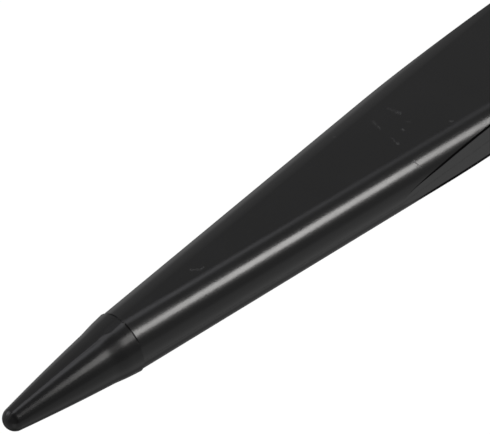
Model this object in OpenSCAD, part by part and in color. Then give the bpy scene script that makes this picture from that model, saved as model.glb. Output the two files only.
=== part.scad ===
// Spudger: a slim hand tool for prying and probing electronics.
// A handle made of two halves closes round a stiff core rod.
// The rod's ends carry a pull-off point tip and a pull-off blade tip.
// +X runs from the point to the blade, the two flat faces are +Z and -Z.
// The tool lies on its lower flat face, at Z = 0.

/* [Handle] */
// Overall length, from the ball of the point to the blade's edge
overall_length = 150; // [140:1:160]
// Width across the parallel sides of the handle
handle_width = 9.5; // [8.5:0.1:11]
// Thickness between the upper and lower flat faces
handle_thickness = 5.4; // [5.3:0.02:5.42]
// Radius of the full-round long edges beside the taper
edge_radius = 2.72; // [2.72:0.01:2.8]
// Width of the handle where it meets the point tip
neck_width = 5.1; // [5:0.02:5.2]
// Half-width gained per millimetre along the taper
taper_slope = 0.084; // [0.07:0.002:0.1]
// Chamfer along the four long corners of the parallel part
corner_chamfer = 0.2; // [0.1:0.05:0.4]

/* [Joint line between the halves] */
// Width of the shadow groove at half the thickness
groove_width = 0.1; // [0.04:0.02:0.2]
// Depth of the shadow groove
groove_depth = 0.08; // [0.04:0.02:0.12]

/* [Point tip] */
// Length of the point tip in front of the handle
point_length = 11.8; // [11:0.1:13]
// Radius of the ball at the very end
ball_radius = 0.985; // [0.9:0.005:1.05]
// Radius at the back, where the rim stands a little proud of the neck
rim_radius = 2.662; // [2.65:0.002:2.69]
// Length of the rim band
rim_length = 1.2; // [1:0.1:1.4]
// Radius at the front of the rim band
rim_front_radius = 2.49; // [2.46:0.005:2.5]
// Length of the short flare in front of the rim band
flare_length = 1.1; // [0.9:0.1:1.3]
// Radius where the long cone meets the flare
cone_radius = 2.276; // [2.25:0.002:2.29]
// How far the long cone bulges at half its length
cone_swell = 0.045; // [0:0.005:0.06]
// Height of the two narrow flats above the axis, at the handle
flat_height = 2.654; // [2.64:0.002:2.66]
// Height of the flats above the axis, beside the ball
flat_end_height = 1.01; // [0.98:0.01:1.04]
// Gap left at each seam between a tip and the handle
seam_gap = 0.06; // [0.02:0.01:0.1]

/* [Blade tip] */
// Length of the blade tip behind the handle
blade_length = 22; // [18:1:26]
// How far the blade's four sides are set in from the handle's
blade_step = 0.1; // [0.05:0.05:0.2]
// Length of the blade that keeps its full thickness
blade_root_length = 5; // [4.5:0.5:8]
// Thickness at the prying edge
blade_edge_thickness = 0.8; // [0.6:0.1:1.4]
// Radius of the curved prying edge, seen from above
blade_edge_radius = 8; // [6:0.5:14]
// Width of the small hooking notch in the prying edge
notch_width = 1.4; // [0.8:0.1:2]
// Depth of the hooking notch
notch_depth = 1.3; // [0.8:0.1:2]

/* [Core rod] */
// Radius of the rod inside the handle
rod_radius = 1.5; // [1.3:0.05:1.6]
// Radius of the spigots that carry the two tips
spigot_radius = 1.15; // [1:0.05:1.2]
// Length of the spigot inside the point tip
point_spigot_length = 5.4; // [4.5:0.1:5.6]
// Length of the spigot inside the blade tip
blade_spigot_length = 9; // [7:0.5:9.5]
// Length of the two-flat key that stops the point tip turning
key_length = 1.6; // [1.2:0.1:2]
// Half-height of the key, from the axis to each of its flats
key_half_height = 1.15; // [1:0.05:1.3]
// Distance of the front cross pin behind the point's seam
front_pin_distance = 16; // [12:1:24]
// Distance of the rear cross pin in front of the blade's seam
rear_pin_distance = 14; // [10:1:24]

/* [Fits] */
// Radial running clearance between a spigot and its socket
socket_clearance = 0.05; // [0.02:0.01:0.1]
// Radial clearance between the rod or a pin and its channel
channel_clearance = 0.02; // [0.01:0.01:0.05]
// Thickness of the rubber of a grip ring
ring_thickness = 0.34; // [0.3:0.01:0.36]
// Radius of a cross pin
pin_radius = 0.6; // [0.5:0.05:0.8]

/* [Hidden] */
$fn = 96;
half_length = overall_length / 2;
half_width = handle_width / 2;
half_thickness = handle_thickness / 2;
// How far a cutting shape runs past the faces that it cuts
overrun = 1;
// A size well past the tool's whole section
beyond = 40;
// Colours of the black plastic, the rod, the rubber and the pins
plastic_colour = [0.03, 0.03, 0.032];
rod_colour = [0.16, 0.15, 0.12];
rubber_colour = [0.02, 0.02, 0.02];
pin_colour = [0.6, 0.6, 0.62];
// The ball of the point is centred here
ball_x = -half_length + ball_radius;
// The two planes where the handle ends
point_seam_x = -half_length + point_length;
blade_seam_x = half_length - blade_length;
handle_length = blade_seam_x - point_seam_x;
// Offset of each full-round edge's axis from the tool's axis, at the neck
neck_offset = neck_width / 2 - edge_radius;
taper_angle = atan(taper_slope);
// The round edges run past both ends of the handle, as they lie askew
edge_overrun = 3;
// The point's back face, and the plane where its long cone starts
point_back_x = point_seam_x - seam_gap;
cone_back_x = point_back_x - rim_length - flare_length;
// The long cone leaves the ball at a tangent
cone_front_angle = atan((cone_radius - ball_radius + 4 * cone_swell) / (cone_back_x - ball_x));
cone_front_x = ball_x - ball_radius * sin(cone_front_angle);
cone_front_radius = ball_radius * cos(cone_front_angle);
cone_length = cone_back_x - cone_front_x;
// The barrelled cone and the ball are turned in short steps
cone_steps = 12;
cone_stations = [for (i = [0 : cone_steps]) cone_front_x + i * cone_length / cone_steps];
ball_steps = 20;
// Height that the flats gain per millimetre towards the handle
flat_slope = (flat_height - flat_end_height) / (point_seam_x - ball_x);
// Small chamfer across the front edges of the blade's root
root_chamfer = 0.15;
// The curved prying edge reaches the overall length at the notch's two corners
blade_edge_centre_x = half_length - sqrt(pow(blade_edge_radius, 2) - pow(notch_width / 2, 2));
// Sockets are deeper than what they take, so the seam faces set the position
socket_extra_depth = 0.4;
// Each socket ends in a drilled cone with a blunt end
socket_cone_length = 0.5;
socket_cone_radius = 0.2;
// Lead-in at each end of the rod
lead_length = 0.4;
lead_depth = 0.3;
// The tongue behind the handle fits a recess in the blade's root
tongue_half_width = 3.2;
tongue_half_height = 1.8;
tongue_length = 3;
tongue_clearance = 0.05;
// Slack at the end of the tongue, the key and each pin
end_slack = 0.1;
// The rod is full size from just behind the point's seam to a little inside the handle's rear end
rod_front_distance = 0.5;
rod_shoulder_distance = 4;
rod_front_x = point_seam_x + rod_front_distance;
rod_shoulder_x = blade_seam_x - rod_shoulder_distance;
shoulder_slack = 0.05;
// Each ring stands this much proud of its spigot, in a groove that leaves it free to roll
ring_proud = 0.02;
ring_slack = 0.01;
ring_groove_slack = 0.08;
point_ring_distance = 3.2;
blade_ring_distance = 6;
point_ring_x = point_seam_x - point_ring_distance;
blade_ring_x = blade_seam_x + blade_ring_distance;
ring_centre_radius = spigot_radius + ring_proud - ring_thickness / 2;
ring_groove_width = ring_thickness + ring_groove_slack;
ring_groove_radius = spigot_radius + ring_proud - ring_thickness - ring_slack;
// The cross pins sit in the joint plane of the two halves
front_pin_x = point_seam_x + front_pin_distance;
front_pin_length = 5.4;
rear_pin_x = blade_seam_x - rear_pin_distance;
rear_pin_length = 6.8;

// Round bar along X from x_from to x_to
module bar_x(x_from, x_to, radius) {
  translate([x_from, 0, 0])
    rotate([0, 90, 0])
      cylinder(r = radius, h = x_to - x_from);
}

// Round bar along X that narrows or widens
module cone_x(x_from, x_to, radius_from, radius_to) {
  translate([x_from, 0, 0])
    rotate([0, 90, 0])
      cylinder(r1 = radius_from, r2 = radius_to, h = x_to - x_from);
}

// Block between two X planes and two Z planes, symmetric about Y = 0
module block(x_from, x_to, half_y, z_from, z_to) {
  translate([x_from, -half_y, z_from])
    cube([x_to - x_from, 2 * half_y, z_to - z_from]);
}

// Long box with chamfered corners, from x_from to x_to
module chamfered_bar(x_from, x_to, half_y, half_z, chamfer) {
  translate([x_from, 0, 0])
    rotate([90, 0, 90])
      linear_extrude(height = x_to - x_from)
        polygon([
          [half_y, half_z - chamfer],
          [half_y - chamfer, half_z],
          [chamfer - half_y, half_z],
          [-half_y, half_z - chamfer],
          [-half_y, chamfer - half_z],
          [chamfer - half_y, -half_z],
          [half_y - chamfer, -half_z],
          [half_y, chamfer - half_z]
        ]);
}

// Everything on the inner side of one full-round long edge
module inside_edge(side, inset) {
  translate([point_seam_x, side * neck_offset, 0])
    rotate([0, 0, side * taper_angle])
      union() {
        bar_x(-edge_overrun, handle_length + 2 * edge_overrun, edge_radius - inset);
        translate([-edge_overrun, side > 0 ? -beyond : 0, -beyond / 2])
          cube([handle_length + 3 * edge_overrun, beyond, beyond]);
      }
}

// The handle's outer form, set in by inset on its long edges and sides
module handle_form(inset) {
  intersection() {
    chamfered_bar(point_seam_x, blade_seam_x, half_width - inset, half_thickness, corner_chamfer);
    inside_edge(1, inset);
    inside_edge(-1, inset);
  }
}

// Channels for the core rod and the cross pins, cut into both halves
module shell_channels() {
  bar_x(point_seam_x - overrun, rod_shoulder_x + shoulder_slack, rod_radius + channel_clearance);
  bar_x(rod_shoulder_x, blade_seam_x + tongue_length + overrun, spigot_radius + channel_clearance);
  cross_bar(front_pin_x, front_pin_length + end_slack, pin_radius + channel_clearance);
  cross_bar(rear_pin_x, rear_pin_length + end_slack, pin_radius + channel_clearance);
}

// Round bar across the tool, along Y
module cross_bar(x, length, radius) {
  translate([x, length / 2, 0])
    rotate([90, 0, 0])
      cylinder(r = radius, h = length);
}

// Upper half of the handle, before it is lifted to its place
module shell_half() {
  difference() {
    union() {
      intersection() {
        handle_form(0);
        block(point_seam_x - overrun, blade_seam_x + overrun, beyond, groove_width / 2, beyond);
      }
      intersection() {
        handle_form(groove_depth);
        block(point_seam_x - overrun, blade_seam_x + overrun, beyond, 0, groove_width);
      }
      block(blade_seam_x - overrun, blade_seam_x + tongue_length, tongue_half_width, 0, tongue_half_height);
    }
    shell_channels();
  }
}

module top_shell() {
  color(plastic_colour)
    translate([0, 0, half_thickness])
      shell_half();
}

module bottom_shell() {
  color(plastic_colour)
    translate([0, 0, half_thickness])
      rotate([180, 0, 0])
        shell_half();
}

// How far the barrelled cone stands proud of a straight one at x
function swell_at(x) =
  let (u = (x - cone_front_x) / cone_length)
  u > 0 && u < 1 ? cone_swell * 4 * u * (1 - u) : 0;

// Radius of the barrelled cone at x
function cone_radius_at(x) =
  cone_front_radius
  + (cone_radius - cone_front_radius) * (x - cone_front_x) / cone_length
  + swell_at(x);

// Height of the flats above the axis at x
function flat_at(x) = flat_height + flat_slope * (x - point_seam_x) + swell_at(x);

// Outer form of the point: ball, barrelled cone, short flare and rim band
module point_form() {
  ball_arc_step = (90 - cone_front_angle) / ball_steps;
  rotate([0, 90, 0])
    rotate_extrude()
      polygon(concat(
        [
          for (i = [0 : ball_steps])
            [ball_radius * sin(i * ball_arc_step), ball_x - ball_radius * cos(i * ball_arc_step)]
        ],
        [
          for (x = cone_stations)
            if (x > cone_front_x) [cone_radius_at(x), x]
        ],
        [
          [rim_front_radius, point_back_x - rim_length],
          [rim_radius, point_back_x],
          [0, point_back_x]
        ]
      ));
}

// All that lies above one narrow flat, which follows the barrelled cone
module point_flat_cut(side) {
  mirror([0, 0, side > 0 ? 0 : 1])
    translate([0, beyond / 2, 0])
      rotate([90, 0, 0])
        linear_extrude(height = beyond)
          polygon(concat(
            [[-half_length - overrun, beyond]],
            [[-half_length - overrun, flat_at(-half_length - overrun)]],
            [for (x = cone_stations) [x, flat_at(x)]],
            [[point_seam_x + overrun, flat_at(point_seam_x + overrun)]],
            [[point_seam_x + overrun, beyond]]
          ));
}

module point_tip() {
  bore_end = point_seam_x - point_spigot_length - socket_extra_depth;
  color(plastic_colour)
    translate([0, 0, half_thickness])
      difference() {
        point_form();
        point_flat_cut(1);
        point_flat_cut(-1);
        bar_x(bore_end, point_seam_x + overrun, spigot_radius + socket_clearance);
        cone_x(bore_end - socket_cone_length, bore_end,
               socket_cone_radius, spigot_radius + socket_clearance);
        intersection() {
          bar_x(point_seam_x - key_length - end_slack, point_seam_x + overrun,
                rod_radius + socket_clearance);
          block(point_seam_x - beyond, point_seam_x + beyond, beyond,
                -key_half_height - socket_clearance, key_half_height + socket_clearance);
        }
      }
}

// Blade seen from the side: a full-thickness root, then a long wedge
module blade_side_form() {
  x_root = blade_seam_x + seam_gap;
  x_taper = blade_seam_x + blade_root_length;
  root_half = half_thickness - blade_step;
  edge_half = blade_edge_thickness / 2;
  translate([0, half_width - blade_step, 0])
    rotate([90, 0, 0])
      linear_extrude(height = handle_width - 2 * blade_step)
        polygon([
          [x_root, root_half - root_chamfer],
          [x_root + root_chamfer, root_half],
          [x_taper, root_half],
          [half_length, edge_half],
          [half_length, -edge_half],
          [x_taper, -root_half],
          [x_root + root_chamfer, -root_half],
          [x_root, root_chamfer - root_half]
        ]);
}

module blade_tip() {
  bore_end = blade_seam_x + blade_spigot_length + socket_extra_depth;
  color(plastic_colour)
    translate([0, 0, half_thickness])
      difference() {
        intersection() {
          blade_side_form();
          union() {
            block(blade_seam_x - overrun, blade_edge_centre_x, beyond, -beyond, beyond);
            translate([blade_edge_centre_x, 0, -beyond / 2])
              cylinder(r = blade_edge_radius, h = beyond);
          }
        }
        bar_x(blade_seam_x - overrun, bore_end, spigot_radius + socket_clearance);
        cone_x(bore_end, bore_end + socket_cone_length,
               spigot_radius + socket_clearance, socket_cone_radius);
        block(blade_seam_x - overrun, blade_seam_x + tongue_length + end_slack,
              tongue_half_width + tongue_clearance,
              -tongue_half_height - tongue_clearance, tongue_half_height + tongue_clearance);
        translate([half_length - notch_depth, 0, -beyond / 2])
          linear_extrude(height = beyond)
            polygon([[0, 0], [2 * notch_depth, -notch_width], [2 * notch_depth, notch_width]]);
      }
}

// Groove for one grip ring, cut round a spigot
module ring_groove(x) {
  difference() {
    bar_x(x - ring_groove_width / 2, x + ring_groove_width / 2, spigot_radius + overrun);
    bar_x(x - overrun, x + overrun, ring_groove_radius);
  }
}

module core_rod() {
  point_end = point_seam_x - point_spigot_length;
  blade_end = blade_seam_x + blade_spigot_length;
  color(rod_colour)
    translate([0, 0, half_thickness])
      difference() {
        union() {
          cone_x(point_end, point_end + lead_length, spigot_radius - lead_depth, spigot_radius);
          bar_x(point_end + lead_length, blade_end - lead_length, spigot_radius);
          cone_x(blade_end - lead_length, blade_end, spigot_radius, spigot_radius - lead_depth);
          bar_x(rod_front_x, rod_shoulder_x, rod_radius);
          intersection() {
            bar_x(point_seam_x - key_length, rod_front_x + overrun, rod_radius);
            block(point_seam_x - beyond, point_seam_x + beyond, beyond, -key_half_height, key_half_height);
          }
        }
        ring_groove(point_ring_x);
        ring_groove(blade_ring_x);
        cross_bar(front_pin_x, 2 * rod_radius + overrun, pin_radius + channel_clearance);
        cross_bar(rear_pin_x, 2 * rod_radius + overrun, pin_radius + channel_clearance);
      }
}

// Rubber ring that lies in a spigot's groove
module grip_ring(x) {
  color(rubber_colour)
    translate([x, 0, half_thickness])
      rotate([0, 90, 0])
        rotate_extrude()
          translate([ring_centre_radius, 0])
            circle(r = ring_thickness / 2);
}

module point_grip_ring() {
  grip_ring(point_ring_x);
}

module blade_grip_ring() {
  grip_ring(blade_ring_x);
}

// Steel pin that locks the core rod between the two halves
module cross_pin(x, length) {
  color(pin_colour)
    translate([0, 0, half_thickness])
      cross_bar(x, length, pin_radius);
}

module front_cross_pin() {
  cross_pin(front_pin_x, front_pin_length);
}

module rear_cross_pin() {
  cross_pin(rear_pin_x, rear_pin_length);
}

point_tip();
top_shell();
bottom_shell();
core_rod();
blade_tip();
point_grip_ring();
blade_grip_ring();
front_cross_pin();
rear_cross_pin();
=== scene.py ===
"""Looks for the spudger: smooth visual pieces, materials, studio light and camera round the CAD frame."""

import math

import bmesh
import bpy
import numpy as np
from mathutils import Matrix, Vector


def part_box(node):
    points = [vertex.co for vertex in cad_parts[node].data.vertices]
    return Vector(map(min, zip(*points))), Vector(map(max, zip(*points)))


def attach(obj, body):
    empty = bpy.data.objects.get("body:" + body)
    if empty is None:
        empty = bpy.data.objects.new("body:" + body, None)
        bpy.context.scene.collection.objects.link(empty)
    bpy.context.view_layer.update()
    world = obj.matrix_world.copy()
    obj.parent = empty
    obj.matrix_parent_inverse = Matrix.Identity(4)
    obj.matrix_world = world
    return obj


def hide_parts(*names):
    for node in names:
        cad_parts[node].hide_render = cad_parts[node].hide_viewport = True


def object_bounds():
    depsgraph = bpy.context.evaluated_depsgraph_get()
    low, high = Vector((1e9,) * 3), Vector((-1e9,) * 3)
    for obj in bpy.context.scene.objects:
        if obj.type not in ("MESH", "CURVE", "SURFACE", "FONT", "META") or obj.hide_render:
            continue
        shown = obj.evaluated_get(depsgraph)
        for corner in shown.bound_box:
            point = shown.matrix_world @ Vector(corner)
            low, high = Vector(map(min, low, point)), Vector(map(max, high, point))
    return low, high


MM = 0.001

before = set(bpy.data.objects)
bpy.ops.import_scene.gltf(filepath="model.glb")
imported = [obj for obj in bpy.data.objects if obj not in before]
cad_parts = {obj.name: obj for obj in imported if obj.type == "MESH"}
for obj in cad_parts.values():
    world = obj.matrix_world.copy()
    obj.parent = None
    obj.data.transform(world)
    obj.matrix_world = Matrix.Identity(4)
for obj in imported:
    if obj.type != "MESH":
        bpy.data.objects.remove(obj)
cad_low, cad_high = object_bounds()

# ---------------------------------------------------------------- sizes, in millimetres

tip_low, tip_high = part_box("point_tip")
shell_low, shell_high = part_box("top_shell")
blade_low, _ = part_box("blade_tip")
MID_Z = cad_high.z / 2 / MM
HALF_THICKNESS = MID_Z
HALF_WIDTH = cad_high.y / MM
SEAM_X = shell_low.x / MM
SEAM_GAP = 0.06
BLADE_SEAM_X = (blade_low.x / MM) - SEAM_GAP

# handle
EDGE_RADIUS = 2.72
NECK_HALF_WIDTH = 2.55
TAPER_SLOPE = 0.084
ROD_CHANNEL_RADIUS = 1.52
SPIGOT_CHANNEL_RADIUS = 1.17
ROD_SHOULDER_X = BLADE_SEAM_X - 3.95
# the sunk line under the corner between the side face and the round edge
CREASE_REACH = 0.30
CREASE_DEPTH = 0.34
# the fine step at each end: its length along the tool and its depth
END_STEP = 0.085
END_STEP_DEPTH = 0.09
# the fine line between the halves
JOINT_SLOT_HALF = 0.012
JOINT_SLOT_DEPTH = 0.08
JOINT_SLOT_SOFTNESS = 0.004
# a row of points this close to an edge keeps the shading beside it flat
SUPPORT = 0.02

# tongue behind the handle
TONGUE_END_X = shell_high.x / MM
TONGUE_HALF_WIDTH = 3.2
TONGUE_HALF_HEIGHT = 1.8
TONGUE_ROOT = 0.8
TONGUE_SOFTNESS = 0.12

# point tip: a ball, a slightly barrelled cone and a rim, with two narrow flats
CONE_START_RADIUS = 1.0
BALL_CENTRE_X = tip_low.x / MM + CONE_START_RADIUS
TIP_BACK_X = tip_high.x / MM + SEAM_GAP - 0.005
TIP_SWELL = 0.045
TIP_SWELL_END_X = SEAM_X - 2.36
TIP_FLAT_HEIGHT = 2.654
TIP_FLAT_RISE = 1.645
CONE_SLOPE = 0.1511
CONE_ANGLE = math.atan(CONE_SLOPE)
BALL_RADIUS = math.cos(CONE_ANGLE)
# distance in front of the tip's back face, and radius there
TIP_PROFILE = [(2.3, 2.276), (1.2, 2.49), (0.0, 2.662)]
SOCKET_RADIUS = 1.2
SOCKET_DEPTH = 5.8
SOCKET_CONE_DEPTH = 6.3
KEY_SOCKET_RADIUS = 1.55
KEY_SOCKET_HALF_HEIGHT = 1.2
KEY_SOCKET_DEPTH = 1.7

# number of points on each part of a quarter outline, and round a bore
CORNER_POINTS = 9
ROUND_POINTS = 44
TOP_POINTS = 5
BORE_POINTS = 25

BLADE_EDGE_SOFTNESS = 0.13


# ---------------------------------------------------------------- materials


def new_material(name):
    """A material, its nodes, links and shader, and the piece's own coordinates."""
    material = bpy.data.materials.new(name)
    material.use_nodes = True
    nodes = material.node_tree.nodes
    links = material.node_tree.links
    shader = nodes["Principled BSDF"]
    coords = nodes.new("ShaderNodeTexCoord")
    return material, nodes, links, shader, coords.outputs["Object"]


def noise(nodes, links, vector, scale, detail=3.0, roughness=0.5, stretch=(1, 1, 1)):
    """Noise over the piece's own coordinates, with scale in features per metre."""
    mapping = nodes.new("ShaderNodeMapping")
    mapping.inputs["Scale"].default_value = stretch
    links.new(vector, mapping.inputs["Vector"])
    texture = nodes.new("ShaderNodeTexNoise")
    texture.inputs["Scale"].default_value = scale
    texture.inputs["Detail"].default_value = detail
    texture.inputs["Roughness"].default_value = roughness
    links.new(mapping.outputs["Vector"], texture.inputs["Vector"])
    return texture.outputs["Fac"]


def remap(nodes, links, value, low, high, out_low, out_high, smooth=False):
    node = nodes.new("ShaderNodeMapRange")
    if smooth:
        node.interpolation_type = "SMOOTHSTEP"
    node.inputs["From Min"].default_value = low
    node.inputs["From Max"].default_value = high
    node.inputs["To Min"].default_value = out_low
    node.inputs["To Max"].default_value = out_high
    links.new(value, node.inputs["Value"])
    return node.outputs["Result"]


def combine(nodes, links, operation, first, second):
    """One arithmetic step between a value and another value or a plain number."""
    node = nodes.new("ShaderNodeMath")
    node.operation = operation
    links.new(first, node.inputs[0])
    if isinstance(second, (int, float)):
        node.inputs[1].default_value = second
    else:
        links.new(second, node.inputs[1])
    return node.outputs["Value"]


def blend(nodes, links, share, first, second):
    node = nodes.new("ShaderNodeMix")
    links.new(share, node.inputs["Factor"])
    links.new(first, node.inputs["A"])
    links.new(second, node.inputs["B"])
    return node.outputs["Result"]


def tint(nodes, links, value, dark, light):
    ramp = nodes.new("ShaderNodeValToRGB")
    ramp.color_ramp.elements[0].color = (*dark, 1)
    ramp.color_ramp.elements[1].color = (*light, 1)
    links.new(value, ramp.inputs["Fac"])
    return ramp.outputs["Color"]


def bump(nodes, links, shader, height, distance, under=None):
    """Relief with distance metres between height 0 and 1, on top of the relief in under."""
    node = nodes.new("ShaderNodeBump")
    node.inputs["Distance"].default_value = distance
    node.inputs["Strength"].default_value = 1.0
    links.new(height, node.inputs["Height"])
    if under is not None:
        links.new(under, node.inputs["Normal"])
    links.new(node.outputs["Normal"], shader.inputs["Normal"])
    return node.outputs["Normal"]


def wander(nodes, links, at, scale, reach):
    """Coordinates pushed about by up to half of reach, so that strokes drawn on them turn ragged."""
    texture = nodes.new("ShaderNodeTexNoise")
    texture.inputs["Scale"].default_value = scale
    links.new(at, texture.inputs["Vector"])
    shift = nodes.new("ShaderNodeVectorMath")
    shift.operation = "MULTIPLY_ADD"
    links.new(texture.outputs["Color"], shift.inputs[0])
    shift.inputs[1].default_value = (reach, reach, reach)
    shift.inputs[2].default_value = (-0.5 * reach, -0.5 * reach, -0.5 * reach)
    moved = nodes.new("ShaderNodeVectorMath")
    links.new(at, moved.inputs[0])
    links.new(shift.outputs["Vector"], moved.inputs[1])
    return moved.outputs["Vector"]


def stroke_mask(nodes, links, at, start, end, width):
    """1 along a short stroke between two points given in millimetres, fading to 0 just past its width."""
    start, end = Vector(start) * MM, Vector(end) * MM
    span = end - start
    offset = nodes.new("ShaderNodeVectorMath")
    offset.operation = "SUBTRACT"
    links.new(at, offset.inputs[0])
    offset.inputs[1].default_value = start
    along = nodes.new("ShaderNodeVectorMath")
    along.operation = "DOT_PRODUCT"
    links.new(offset.outputs["Vector"], along.inputs[0])
    along.inputs[1].default_value = span / span.length_squared
    share = remap(nodes, links, along.outputs["Value"], 0.0, 1.0, 0.0, 1.0)
    nearest = nodes.new("ShaderNodeVectorMath")
    nearest.operation = "SCALE"
    nearest.inputs[0].default_value = span
    links.new(share, nearest.inputs["Scale"])
    away = nodes.new("ShaderNodeVectorMath")
    away.operation = "DISTANCE"
    links.new(offset.outputs["Vector"], away.inputs[0])
    links.new(nearest.outputs["Vector"], away.inputs[1])
    solid, faded = 0.1 * width * MM, 1.1 * width * MM
    return remap(nodes, links, away.outputs["Value"], solid, faded, 1.0, 0.0, smooth=True)


def black_plastic(name, marks=()):
    """Moulded black nylon: satin gloss, slightly wavy skin, fine scratches, and any knocks in marks.

    Each mark is a start, an end, a width and how strong it is.
    """
    material, nodes, links, shader, at = new_material(name)
    cloud = noise(nodes, links, at, 260, detail=4)
    grain = noise(nodes, links, at, 5200, detail=2)
    wave = noise(nodes, links, at, 700, detail=2, stretch=(0.5, 1, 1))
    scratch = noise(nodes, links, at, 900, detail=6, roughness=0.7, stretch=(0.25, 5, 5))
    scuffs = remap(nodes, links, scratch, 0.60, 0.70, 0.0, 1.0)
    base = tint(nodes, links, cloud, (0.0030, 0.0030, 0.0031), (0.0042, 0.0042, 0.0043))
    smooth = remap(nodes, links, cloud, 0.3, 0.7, 0.195, 0.235)
    rough = combine(nodes, links, "ADD", smooth, combine(nodes, links, "MULTIPLY", scuffs, 0.06))
    relief = None
    if marks:
        broken = remap(nodes, links, noise(nodes, links, at, 12000, detail=2), 0.4, 0.6, 0.15, 1.0)
        spot = wander(nodes, links, at, 3500, 0.35 * MM)
        for start, end, width, strength in marks:
            mask = stroke_mask(nodes, links, spot, start, end, width)
            mask = combine(nodes, links, "MULTIPLY", mask, strength)
            relief = mask if relief is None else combine(nodes, links, "MAXIMUM", relief, mask)
        relief = combine(nodes, links, "MULTIPLY", relief, broken)
        # a colour mix: its A and B are inputs 6 and 7, and its result is output 2
        pale = nodes.new("ShaderNodeMix")
        pale.data_type = "RGBA"
        links.new(relief, pale.inputs["Factor"])
        links.new(base, pale.inputs[6])
        pale.inputs[7].default_value = (0.045, 0.045, 0.046, 1)
        base = pale.outputs[2]
        rough = combine(nodes, links, "ADD", rough, combine(nodes, links, "MULTIPLY", relief, 0.25))
    links.new(base, shader.inputs["Base Color"])
    links.new(rough, shader.inputs["Roughness"])
    shader.inputs["IOR"].default_value = 1.5
    shader.inputs["Specular IOR Level"].default_value = 0.23
    waved = bump(nodes, links, shader, wave, 8e-6)
    grained = bump(nodes, links, shader, grain, 0.25e-6, under=waved)
    scratched = bump(nodes, links, shader, scuffs, -0.5e-6, under=grained)
    if marks:
        bump(nodes, links, shader, relief, -6e-6, under=scratched)
    return material


def rod_composite():
    """Ground glass-fibre rod: straw-brown resin with fine fibres along its length."""
    material, nodes, links, shader, at = new_material("rod_composite")
    fibres = noise(nodes, links, at, 1500, detail=4, roughness=0.7, stretch=(0.04, 6, 6))
    base = tint(nodes, links, fibres, (0.085, 0.065, 0.032), (0.30, 0.25, 0.15))
    links.new(base, shader.inputs["Base Color"])
    links.new(remap(nodes, links, fibres, 0.3, 0.7, 0.35, 0.6), shader.inputs["Roughness"])
    bump(nodes, links, shader, fibres, 6e-6)
    return material


def pin_steel():
    """Plain steel pin with turning marks."""
    material, nodes, links, shader, at = new_material("pin_steel")
    marks = noise(nodes, links, at, 2500, detail=3, stretch=(1, 8, 1))
    base = tint(nodes, links, marks, (0.42, 0.42, 0.43), (0.62, 0.62, 0.63))
    links.new(base, shader.inputs["Base Color"])
    shader.inputs["Metallic"].default_value = 1.0
    links.new(remap(nodes, links, marks, 0.3, 0.7, 0.22, 0.4), shader.inputs["Roughness"])
    bump(nodes, links, shader, marks, 2e-6)
    return material


def ring_rubber():
    """Soft black rubber with a dusty bloom."""
    material, nodes, links, shader, at = new_material("ring_rubber")
    bloom = noise(nodes, links, at, 3000, detail=5)
    base = tint(nodes, links, bloom, (0.012, 0.012, 0.012), (0.03, 0.03, 0.03))
    links.new(base, shader.inputs["Base Color"])
    links.new(remap(nodes, links, bloom, 0.3, 0.7, 0.6, 0.85), shader.inputs["Roughness"])
    bump(nodes, links, shader, bloom, 4e-6)
    return material


def flat_mark(from_seam, y, to_from_seam, to_y, width, strength):
    """A knock on the upper flat, placed by how far behind the seam it starts and ends."""
    top = 2 * MID_Z
    return (SEAM_X + from_seam, y, top), (SEAM_X + to_from_seam, to_y, top), width, strength


KNOCKS = [
    flat_mark(31.1, 1.8, 31.3, 1.0, 0.17, 0.22),
    flat_mark(31.3, 0.95, 31.4, 0.75, 0.22, 0.5),
    flat_mark(29.1, 1.6, 29.0, 0.6, 0.18, 0.3),
    flat_mark(30.2, -0.7, 30.2, -0.8, 0.15, 0.8),
    flat_mark(31.1, -0.3, 31.3, -0.5, 0.14, 0.25),
    flat_mark(28.9, -0.7, 28.8, -1.4, 0.12, 0.25),
    flat_mark(28.8, -1.4, 28.8, -1.65, 0.17, 0.6),
    flat_mark(33.7, -2.75, 33.8, -2.85, 0.15, 0.6),
    flat_mark(7.4, 0.1, 8.0, -0.5, 0.13, 0.45),
    flat_mark(8.0, -0.5, 8.3, -0.45, 0.12, 0.4),
    flat_mark(25.6, 2.6, 25.7, 2.5, 0.14, 0.3),
    flat_mark(39.6, 4.2, 39.7, 4.1, 0.14, 0.3),
    ((SEAM_X + 28.6, -3.65, 5.06), (SEAM_X + 28.8, -4.15, 4.56), 0.11, 0.6),
]

PLASTIC = black_plastic("black_plastic")
MARKED_PLASTIC = black_plastic("black_plastic_marked", KNOCKS)
ROD = rod_composite()
STEEL = pin_steel()
RUBBER = ring_rubber()


def dress(node, material):
    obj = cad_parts[node]
    obj.data.materials.clear()
    obj.data.materials.append(material)


dress("core_rod", ROD)
dress("point_grip_ring", RUBBER)
dress("blade_grip_ring", RUBBER)
dress("front_cross_pin", STEEL)
dress("rear_cross_pin", STEEL)


# ---------------------------------------------------------------- lofted pieces


def arc(centre_y, centre_z, radius, start, end, count):
    """Points on an arc in the section plane, as (y, z) pairs."""
    return [
        (centre_y + radius * math.cos(angle), centre_z + radius * math.sin(angle))
        for angle in np.linspace(start, end, count)
    ]


def smooth_step(value, low, high):
    share = min(1.0, max(0.0, (value - low) / (high - low)))
    return share * share * (3 - 2 * share)


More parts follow.
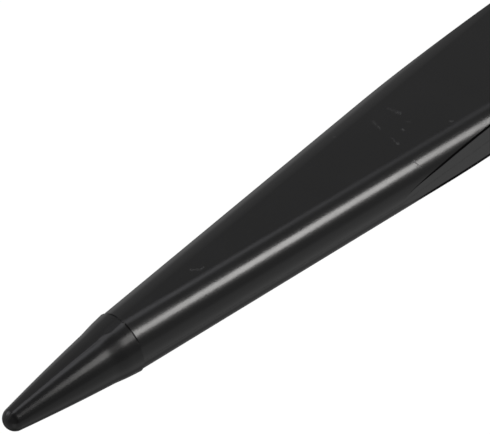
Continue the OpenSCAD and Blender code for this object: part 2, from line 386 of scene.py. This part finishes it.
def quarter_outline(side_y, axis_y, radius, top_z, softness, crease=0.0):
    """A quarter outline from the side, round the edge, to the flat face, as (y, z) pairs.

    It is the overlap of a round edge about axis_y, a side plane and a flat face, with every corner
    softened. crease, from 0 to 1, sinks a fine line under the corner between the side and the round.
    """
    inner_radius = radius - softness
    inner_side = side_y - softness
    inner_top = top_z - softness
    low_angle = math.acos(min(1.0, max(-1.0, (inner_side - axis_y) / inner_radius)))
    high_angle = math.asin(min(1.0, inner_top / inner_radius))
    if low_angle >= high_angle:
        # the round edge lies outside the corner, so one soft corner takes its place
        points = CORNER_POINTS + ROUND_POINTS + TOP_POINTS
        corner = arc(inner_side, inner_top, softness, 0, math.pi / 2, points)
        return [(side_y, inner_top - CREASE_REACH)] + corner
    side_top = inner_radius * math.sin(low_angle)
    low_corner_y = min(inner_side, axis_y + inner_radius)
    low_corner = arc(low_corner_y, side_top, softness, 0, low_angle, CORNER_POINTS)
    if crease > 0:
        # the corner's first and last points stay on the skin, and those between go down into the slot
        last = CORNER_POINTS - 1
        for k in range(CORNER_POINTS):
            share = min(1.0, max(0.0, (k - 1) / (last - 2)))
            angle = share * low_angle
            sink = CREASE_DEPTH * crease if 0 < k < last else 0.0
            low_corner[k] = (
                low_corner_y + softness * math.cos(angle) - sink * math.cos(low_angle / 2),
                side_top + softness * math.sin(angle) - CREASE_REACH * crease * (1 - share)
                - sink * math.sin(low_angle / 2),
            )
    round_edge = arc(axis_y, 0, radius, low_angle, high_angle, ROUND_POINTS + 2)[1:-1]
    high_corner = arc(
        axis_y + inner_radius * math.cos(high_angle), inner_top, softness, high_angle, math.pi / 2, TOP_POINTS
    )
    foot = (low_corner[0][0], max(0.0, low_corner[0][1] - SUPPORT))
    return [foot] + low_corner + round_edge + high_corner


def mesh_object(name, vertices, faces, material, sharp_angle=32):
    """A smooth-shaded object from vertices in millimetres, split in shade where it turns by sharp_angle."""
    mesh = bpy.data.meshes.new(name)
    mesh.from_pydata([tuple(c * MM for c in v) for v in vertices], [], faces)
    build = bmesh.new()
    build.from_mesh(mesh)
    bmesh.ops.remove_doubles(build, verts=build.verts, dist=1e-7)
    bmesh.ops.dissolve_degenerate(build, dist=1e-8, edges=build.edges)
    bmesh.ops.recalc_face_normals(build, faces=build.faces)
    build.to_mesh(mesh)
    build.free()
    mesh.shade_smooth()
    mesh.set_sharp_from_angle(angle=math.radians(sharp_angle))
    mesh.materials.append(material)
    obj = bpy.data.objects.new(name, mesh)
    bpy.context.scene.collection.objects.link(obj)
    return obj


def loft(rings, closed_ends=True):
    """Faces between rings of equal length, with the first and last ring capped."""
    count = len(rings[0])
    vertices = [v for ring in rings for v in ring]
    faces = []
    for r in range(len(rings) - 1):
        for i in range(count):
            j = (i + 1) % count
            faces.append((r * count + i, r * count + j, (r + 1) * count + j, (r + 1) * count + i))
    if closed_ends:
        faces.append(tuple(range(count)))
        faces.append(tuple((len(rings) - 1) * count + i for i in range(count)))
    return vertices, faces


def flatten(obj):
    """Large faces shade flat, and only the softened edges between them shade round."""
    weighted = obj.modifiers.new("flatten", "WEIGHTED_NORMAL")
    weighted.weight = 90
    weighted.keep_sharp = True


def taper_axis(x):
    """How far the round edge's axis lies from the tool's axis."""
    return NECK_HALF_WIDTH - EDGE_RADIUS + TAPER_SLOPE * (x - SEAM_X)


def corner_softness(x):
    """Edges are crisp by the taper and a little softer along the grip."""
    crisp, soft = 0.07, 0.20
    return crisp + (soft - crisp) * smooth_step(x - SEAM_X, 42, 60)


def facet_start():
    """Where the round edge first meets the side plane."""
    return SEAM_X + (HALF_WIDTH - NECK_HALF_WIDTH) / TAPER_SLOPE


# distance past the end step, and depth there
END_ROUND = [(0.0, END_STEP_DEPTH), (0.002, 0.012), (0.008, 0.004), (0.02, 0.0)]


def shell_stations():
    """Places along the handle, closer together where the form turns."""
    spacing = 0.6
    taper_length = 60
    facet_reach, facet_rings = 1.8, 16
    grip_rings = 24
    near_end = [0.0] + [END_STEP + d for d, _ in END_ROUND] + [0.15, 0.3]
    front = [SEAM_X + d for d in near_end]
    taper = list(np.arange(SEAM_X + spacing, SEAM_X + taper_length, spacing))
    facet = [facet_start() + facet_reach * (k / facet_rings) ** 2 for k in range(facet_rings)]
    grip = list(np.linspace(taper[-1] + 2, BLADE_SEAM_X - spacing, grip_rings))
    rear = [BLADE_SEAM_X - d for d in reversed(near_end)]
    return sorted(front + taper + facet + grip + rear)


def skin_quarter(x, inset):
    """The handle's quarter outline at x, drawn in by inset.

    The crease lies along the side plane's edge. It grows from where that plane starts and dies out behind.
    """
    past_facet = x - facet_start()
    crease = smooth_step(past_facet, 0.0, 5.0) * (1 - smooth_step(past_facet, 16, 25))
    return quarter_outline(
        HALF_WIDTH - inset,
        taper_axis(x),
        EDGE_RADIUS - inset,
        HALF_THICKNESS - inset,
        corner_softness(x),
        crease,
    )


def end_inset(to_end):
    """How deep the fine step at each end is: square, under a small rounded edge."""
    past, depths = zip(*END_ROUND)
    return float(np.interp(to_end - END_STEP, past, depths))


def shell_ring(x):
    """One closed outline of a half at x: outside skin, then back along the joint plane and the channel."""
    inset = end_inset(min(x - SEAM_X, BLADE_SEAM_X - x))
    quarter = skin_quarter(x, 0.0)
    if inset > 0:
        # the step is deepest on the rounds and dies out on the flats and at mid-height
        drawn_in = skin_quarter(x, inset)
        for k, ((y, z), (y_in, z_in)) in enumerate(zip(quarter, drawn_in)):
            height = z / HALF_THICKNESS
            share = smooth_step(height, 0.5, 0.75) * (1 - smooth_step(height, 0.97, 1.0))
            quarter[k] = (y + share * (y_in - y), z + share * (z_in - z))
    # the edge turns in at the joint plane, so that the two halves leave a fine dark line
    skin_y = quarter[0][0]
    slot_y = skin_y - JOINT_SLOT_DEPTH
    slot_edge = JOINT_SLOT_HALF + JOINT_SLOT_SOFTNESS
    turn_in = [
        (slot_y, 0.0),
        (slot_y, JOINT_SLOT_HALF),
        (skin_y - JOINT_SLOT_SOFTNESS, JOINT_SLOT_HALF),
        (skin_y, slot_edge),
        (skin_y, slot_edge + SUPPORT),
    ]
    skin = turn_in + [(y, max(z, turn_in[-1][1])) for y, z in quarter]
    channel_radius = ROD_CHANNEL_RADIUS if x < ROD_SHOULDER_X else SPIGOT_CHANNEL_RADIUS
    channel = arc(0, 0, channel_radius, 0, math.pi, BORE_POINTS)
    return skin + [(-y, z) for y, z in reversed(skin)] + list(reversed(channel))


def make_shell(name, up, material):
    """One half of the handle: up is 1 for the upper half and -1 for the lower."""
    rings = [[(x, y, MID_Z + up * z) for y, z in shell_ring(x)] for x in shell_stations()]
    vertices, faces = loft(rings)
    obj = mesh_object(name, vertices, faces, material)
    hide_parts(name.replace("_skin", ""))
    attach(obj, "handle")


def make_tongue(name, up):
    """Half of the tongue behind the handle, which keys the blade. Its root is inside the half."""
    soft = TONGUE_SOFTNESS
    mid_soft = 0.3 * soft
    # place along the tool, and how far the outline is drawn in there
    stations = [
        (BLADE_SEAM_X - TONGUE_ROOT, 0),
        (TONGUE_END_X - soft, 0),
        (TONGUE_END_X - 0.03, 0.05),
        (TONGUE_END_X, soft),
    ]
    rings = []
    for x, inset in stations:
        y = TONGUE_HALF_WIDTH - inset
        z = TONGUE_HALF_HEIGHT - inset
        skin = [(y, 0.0), (y, z - soft), (y - mid_soft, z - mid_soft), (y - soft, z)]
        channel = arc(0, 0, SPIGOT_CHANNEL_RADIUS, 0, math.pi, BORE_POINTS)
        outline = skin + [(-p, q) for p, q in reversed(skin)] + list(reversed(channel))
        rings.append([(x, p, MID_Z + up * q) for p, q in outline])
    vertices, faces = loft(rings)
    obj = mesh_object(name, vertices, faces, PLASTIC, sharp_angle=60)
    flatten(obj)
    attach(obj, "handle")


make_shell("top_shell_skin", 1, MARKED_PLASTIC)
make_shell("bottom_shell_skin", -1, PLASTIC)
make_tongue("tongue_upper", 1)
make_tongue("tongue_lower", -1)


# ---------------------------------------------------------------- point tip


def tip_polyline(x):
    """Radius of the tip behind the ball, before its turns are smoothed."""
    xs = [BALL_CENTRE_X] + [TIP_BACK_X - d for d, _ in TIP_PROFILE]
    radii = [CONE_START_RADIUS] + [r for _, r in TIP_PROFILE]
    return float(np.interp(x, xs, radii)) + tip_swell(x)


def tip_swell(x):
    """The cone is very slightly barrelled."""
    share = (x - BALL_CENTRE_X) / (TIP_SWELL_END_X - BALL_CENTRE_X)
    return TIP_SWELL * 4 * share * (1 - share) if 0 < share < 1 else 0.0


def tip_radius(x):
    """Radius of the tip at x, with its turns smoothed by averaging over a short reach."""
    past_ball = x - BALL_CENTRE_X
    if past_ball < -BALL_RADIUS * math.sin(CONE_ANGLE):
        return math.sqrt(max(0.0, BALL_RADIUS**2 - past_ball**2))
    if past_ball < 0.5:
        return CONE_START_RADIUS + CONE_SLOPE * past_ball + tip_swell(x)
    reach = min(0.35, 0.8 * (TIP_BACK_X - x), past_ball)
    samples = 15
    spots = np.linspace(x - reach, x + reach, samples)
    weights = np.cos(np.linspace(-1.4, 1.4, samples))
    return float(np.average([tip_polyline(s) for s in spots], weights=weights))


def tip_flat(x):
    """Height of the narrow flat above the axis."""
    slope = TIP_FLAT_RISE / (SEAM_X - BALL_CENTRE_X)
    return TIP_FLAT_HEIGHT + slope * (x - SEAM_X) + tip_swell(x)


def tip_stations():
    """Places along the tip, closer together round the ball and towards the back face."""
    ball = [BALL_CENTRE_X - BALL_RADIUS * math.cos(math.radians(a)) for a in range(3, 82, 3)]
    cone = list(np.linspace(BALL_CENTRE_X - 0.13, TIP_BACK_X - 3.6, 40))
    rim = list(np.linspace(TIP_BACK_X - 3.5, TIP_BACK_X - 0.5, 50))
    to_back = (0.45, 0.4, 0.35, 0.3, 0.26, 0.22, 0.18, 0.14, 0.11, 0.08, 0.05, 0.03, 0.015, 0.0)
    back = [TIP_BACK_X - d for d in to_back]
    return ball + cone + rim + back


def tip_ring(x):
    """One closed outline of the tip at x: a circle with a flat above and below."""
    radius = tip_radius(x)
    flat = min(tip_flat(x), radius * 1.02)
    soft = min(0.05, radius * 0.3)
    # the side plane is put beyond the circle, so that only the flat cuts it
    side_y = radius + 5
    quarter = quarter_outline(side_y, 0.0, radius, flat, soft)[1:]
    upper = quarter + [(-y, z) for y, z in reversed(quarter)]
    lower = [(-y, -z) for y, z in upper[1:-1]]
    return [(x, y, MID_Z + z) for y, z in upper + lower]


def make_point_tip():
    """The point tip: the turned outside, and the keyed socket and bore behind."""
    rings = [tip_ring(x) for x in tip_stations()]
    count = len(rings[0])
    vertices, faces = loft(rings, closed_ends=False)
    apex = len(vertices)
    vertices.append((BALL_CENTRE_X - BALL_RADIUS, 0.0, MID_Z))
    for i in range(count):
        faces.append((apex, (i + 1) % count, i))
    # the back face runs in to the keyed socket, then down the bore to its conical end
    limit = KEY_SOCKET_HALF_HEIGHT
    key, bore = [], []
    for _, y, z in rings[-1]:
        angle = math.atan2(z - MID_Z, y)
        key_y = KEY_SOCKET_RADIUS * math.cos(angle)
        key_z = max(-limit, min(limit, KEY_SOCKET_RADIUS * math.sin(angle)))
        inward = SOCKET_RADIUS / math.hypot(key_y, key_z)
        key.append((key_y, key_z))
        bore.append((key_y * inward, key_z * inward))
    inside = [
        (TIP_BACK_X, key),
        (SEAM_X - KEY_SOCKET_DEPTH, key),
        (SEAM_X - KEY_SOCKET_DEPTH, bore),
        (SEAM_X - SOCKET_DEPTH, bore),
    ]
    previous = (len(rings) - 1) * count
    for x, outline in inside:
        start = len(vertices)
        vertices.extend((x, y, MID_Z + z) for y, z in outline)
        for i in range(count):
            j = (i + 1) % count
            faces.append((previous + i, previous + j, start + j, start + i))
        previous = start
    end = len(vertices)
    vertices.append((SEAM_X - SOCKET_CONE_DEPTH, 0.0, MID_Z))
    for i in range(count):
        faces.append((previous + i, previous + (i + 1) % count, end))
    obj = mesh_object("point_tip_skin", vertices, faces, PLASTIC)
    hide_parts("point_tip")
    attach(obj, "point")


make_point_tip()


# ---------------------------------------------------------------- blade tip


def make_blade_tip():
    """The CAD blade with its faces merged and every outside edge softened."""
    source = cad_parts["blade_tip"]
    mesh = source.data.copy()
    mesh.name = "blade_tip_skin"
    build = bmesh.new()
    build.from_mesh(mesh)
    bmesh.ops.remove_doubles(build, verts=build.verts, dist=1e-7)
    bmesh.ops.dissolve_limit(build, angle_limit=math.radians(1.0), verts=build.verts, edges=build.edges)
    build.to_mesh(mesh)
    build.free()
    mesh.materials.clear()
    mesh.materials.append(PLASTIC)
    mesh.shade_smooth()
    obj = bpy.data.objects.new("blade_tip_skin", mesh)
    bpy.context.scene.collection.objects.link(obj)
    soften = obj.modifiers.new("soften", "BEVEL")
    soften.width = BLADE_EDGE_SOFTNESS * MM
    soften.segments = 4
    soften.limit_method = "ANGLE"
    soften.angle_limit = math.radians(5)
    flatten(obj)
    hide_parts("blade_tip")
    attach(obj, "blade")


make_blade_tip()


# ---------------------------------------------------------------- floor, light and camera

WARM_LIGHT = (1.0, 0.985, 0.97)
COOL_LIGHT = (0.95, 0.95, 1.0)
LIGHT_DISTANCE = 1.0


def make_floor():
    """A plain white table that runs up into a white wall all round.

    It is only a backdrop: what the glossy plastic mirrors comes from the studio world below.
    """
    material, _, _, shader, _ = new_material("floor_white")
    shader.inputs["Base Color"].default_value = (0.02, 0.02, 0.02, 1)
    shader.inputs["Roughness"].default_value = 1.0
    shader.inputs["Specular IOR Level"].default_value = 0.0
    shader.inputs["Emission Color"].default_value = (1, 1, 1, 1)
    shader.inputs["Emission Strength"].default_value = 1.0
    height = cad_low.z / MM - 0.01
    sides = 64
    # radius and rise of each ring
    profile = [(100, 0), (4000, 0), (5000, 200), (5600, 800), (6000, 2000), (6000, 6000)]
    vertices = [(0, 0, height)]
    for radius, rise in profile:
        for k in range(sides):
            angle = 2 * math.pi * k / sides
            vertices.append((radius * math.cos(angle), radius * math.sin(angle), height + rise))
    faces = [(0, 1 + k, 1 + (k + 1) % sides) for k in range(sides)]
    for r in range(len(profile) - 1):
        inner, outer = 1 + r * sides, 1 + (r + 1) * sides
        for k in range(sides):
            n = (k + 1) % sides
            faces.append((inner + k, outer + k, outer + n, inner + n))
    floor = mesh_object("floor", vertices, faces, material)
    floor.visible_glossy = False
    floor.visible_diffuse = False
    floor.visible_shadow = False


def make_world():
    """The studio that the plastic mirrors, as brightness by direction.

    Above the horizon the near side is dim, lighter towards both ends of the tool, and the far side is a
    grey wall. Below it the table is bright on the near side, and again towards the point and the far side.
    """
    world = bpy.data.worlds.new("studio")
    bpy.context.scene.world = world
    world.use_nodes = True
    nodes, links = world.node_tree.nodes, world.node_tree.links
    split = nodes.new("ShaderNodeSeparateXYZ")
    links.new(nodes.new("ShaderNodeTexCoord").outputs["Generated"], split.inputs["Vector"])
    along, ahead, height = split.outputs["X"], split.outputs["Y"], split.outputs["Z"]

    def fade(value, low, high, out_low, out_high):
        return remap(nodes, links, value, low, high, out_low, out_high, smooth=True)

    def add(first, second):
        return combine(nodes, links, "ADD", first, second)

    near_wall = add(fade(along, -0.75, -0.35, 0.40, 0.15), fade(along, -0.25, 0.45, 0.0, 0.47))
    far_wall = add(fade(height, -0.05, 0.5, 0.42, 0.68), fade(along, -0.6, -0.1, 0.4, 0.0))
    far_side = fade(ahead, 0.02, 0.42, 0.0, 1.0)
    above = blend(nodes, links, far_side, near_wall, far_wall)
    table = fade(ahead, -0.66, -0.24, 1.12, 0.22)
    table = combine(nodes, links, "MULTIPLY", table, remap(nodes, links, along, 0.1, 0.42, 0.62, 1.0))
    table = add(table, fade(along, -0.75, -0.3, 0.5, 0.0))
    table = add(table, fade(ahead, 0.7, 0.97, 0.0, 0.5))
    over = fade(height, -0.08, 0.06, 0.0, 1.0)
    total = blend(nodes, links, over, table, above)
    background = nodes["Background"]
    background.inputs["Color"].default_value = (1, 1, 1, 1)
    links.new(total, background.inputs["Strength"])


def softbox(name, centre, along, size, radiance, colour=WARM_LIGHT):
    """An oblong light that faces the taper of the tool, with its length along a given direction.

    It stands in the direction of centre. radiance is the brightness that a perfect mirror would show.
    """
    target = Vector((SEAM_X + 20, 0, MID_Z)) * MM
    towards = Vector(centre).normalized()
    across = towards.cross(Vector(along)).normalized()
    length_way = across.cross(towards)
    light = bpy.data.lights.new(name, "AREA")
    light.shape = "RECTANGLE"
    light.size, light.size_y = size
    light.energy = radiance * math.pi * size[0] * size[1]
    light.color = colour
    lamp = bpy.data.objects.new(name, light)
    bpy.context.scene.collection.objects.link(lamp)
    lamp.location = target + towards * LIGHT_DISTANCE
    lamp.rotation_mode = "QUATERNION"
    lamp.rotation_quaternion = Matrix((length_way, across, towards)).transposed().to_quaternion()
    lamp.visible_camera = False


def make_camera():
    """The photograph's viewing angle and framing.

    distance is from the neck, frame_width is what the picture spans there, and aim_right and aim_up are
    how far the neck lies from the picture's middle, all in millimetres.
    """
    azimuth = math.radians(-43.704)
    elevation = math.radians(47.377)
    distance = 236.6
    frame_width = 37.817
    aim_right, aim_up = 9.562, 9.718
    back = Vector(
        (
            math.sin(azimuth) * math.cos(elevation),
            -math.cos(azimuth) * math.cos(elevation),
            math.sin(elevation),
        )
    )
    right = Vector((math.cos(azimuth), math.sin(azimuth), 0))
    up = back.cross(right)
    neck = Vector((SEAM_X, 0, MID_Z))
    camera = bpy.data.cameras.new("camera")
    camera.sensor_width = 36
    camera.lens = camera.sensor_width * distance / frame_width
    camera.clip_start = 0.01
    camera.clip_end = 100
    eye = bpy.data.objects.new("camera", camera)
    bpy.context.scene.collection.objects.link(eye)
    eye.location = (neck + right * aim_right + up * aim_up + back * distance) * MM
    eye.rotation_mode = "QUATERNION"
    eye.rotation_quaternion = Matrix((right, up, back)).transposed().to_quaternion()
    bpy.context.scene.camera = eye


make_floor()
make_world()
softbox("key_light", (0.388, -0.61, 0.695), (1, 0, 0), (0.19, 0.29), 30.0)
softbox("key_tail", (0.40, -0.755, 0.53), (1, 0, 0), (0.40, 0.12), 2.0)
softbox("key_spill", (0.19, -0.57, 0.80), (1, 0, 0), (0.16, 0.40), 11.0)
softbox("ball_light", (-0.32, 0.82, 0.46), (0, 0, 1), (0.45, 0.40), 2.6, COOL_LIGHT)
softbox("strip_light", (-0.08, 0.37, 0.92), (0.88, -0.46, 0.20), (1.36, 0.24), 2.9, COOL_LIGHT)
softbox("strip_end", (0.74, 0.035, 1.065), (0.88, -0.46, 0.20), (0.24, 0.19), 1.2, COOL_LIGHT)
make_camera()

scene = bpy.context.scene
scene.view_settings.view_transform = "Standard"
scene.view_settings.look = "None"
